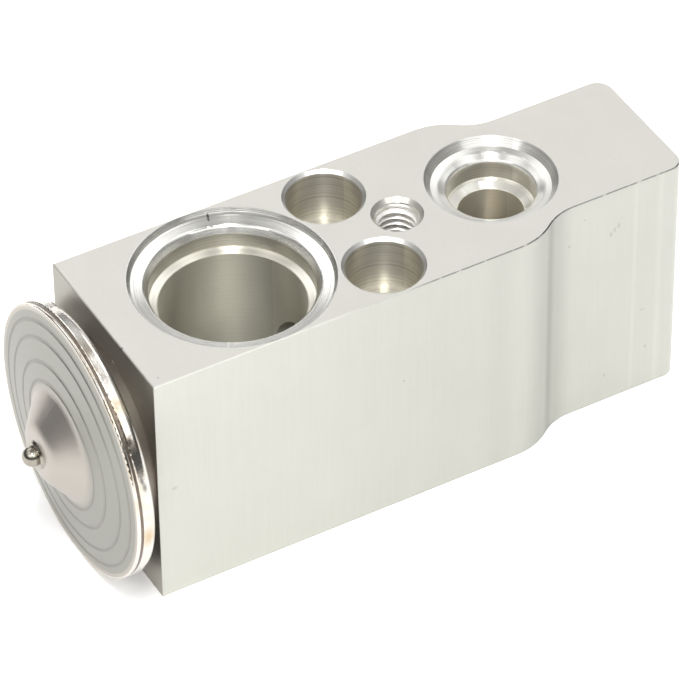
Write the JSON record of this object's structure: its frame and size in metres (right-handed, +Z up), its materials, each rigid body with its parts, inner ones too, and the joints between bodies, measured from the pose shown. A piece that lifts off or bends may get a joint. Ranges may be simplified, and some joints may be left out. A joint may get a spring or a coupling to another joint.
{
  "type": "thermostatic expansion valve",
  "caption": "Block-type thermostatic expansion valve: machined aluminium block with pipe ports, round power head, sprung ball valve and setting screw.",
  "frame": {"origin": "middle of the two bolt holes, on the evaporator face that the valve stands on", "axes": "+X from the power head along the block to the setting screw, +Z up to the pipe face, +Y across the block"},
  "size_m": [0.0948, 0.0384, 0.0384],
  "materials": {
    "block": "satin, extruded and machined",
    "stainless": "satin stamped stainless",
    "ball_steel": "polished",
    "spring_steel": "bright",
    "rod_alloy": "turned",
    "screw_alloy": "turned",
    "brass_pad": "turned",
    "seal_rubber": "matt"
  },
  "bodies": {
    "housing": {"valve_body": "block", "head_cover": "stainless", "charge_plug": "ball_steel", "rim_weld": "stainless", "head_base": "stainless", "head_o_ring": "seal_rubber", "diaphragm": "stainless", "rod_o_ring": "seal_rubber", "seal_retainer": "spring_steel", "setting_spring": "spring_steel"},
    "stem": {"thrust_pad": "brass_pad", "sensing_rod": "rod_alloy", "push_pin": "ball_steel", "valve_ball": "ball_steel", "ball_carrier": "brass_pad", "damper_spring": "spring_steel"},
    "screw_seal": {"screw_o_ring": "seal_rubber"},
    "setting_screw": {"setting_screw": "screw_alloy"}
  },
  "joints": [
    {"name": "valve_lift", "type": "slide", "parent": "housing", "child": "stem", "axis": [1, 0, 0], "range_m": [0, 0.0006], "stiffness_N_per_m": 5000, "springref_m": -0.002, "deforming": ["setting_spring", "diaphragm"]},
    {"name": "screw_advance", "type": "slide", "parent": "housing", "child": "screw_seal", "axis": [1, 0, 0], "range_m": [-0.0005, 0.0005], "deforming": ["setting_spring"]},
    {"name": "screw_turn", "type": "hinge", "parent": "screw_seal", "child": "setting_screw", "pos_m": [0.0407, 0, 0.0193], "axis": [1, 0, 0], "range_deg": [-180, 180]}
  ],
  "couplings": [
    {"joint": "screw_turn", "follows": "screw_advance", "rad_per_m": 6283.2}
  ]
}
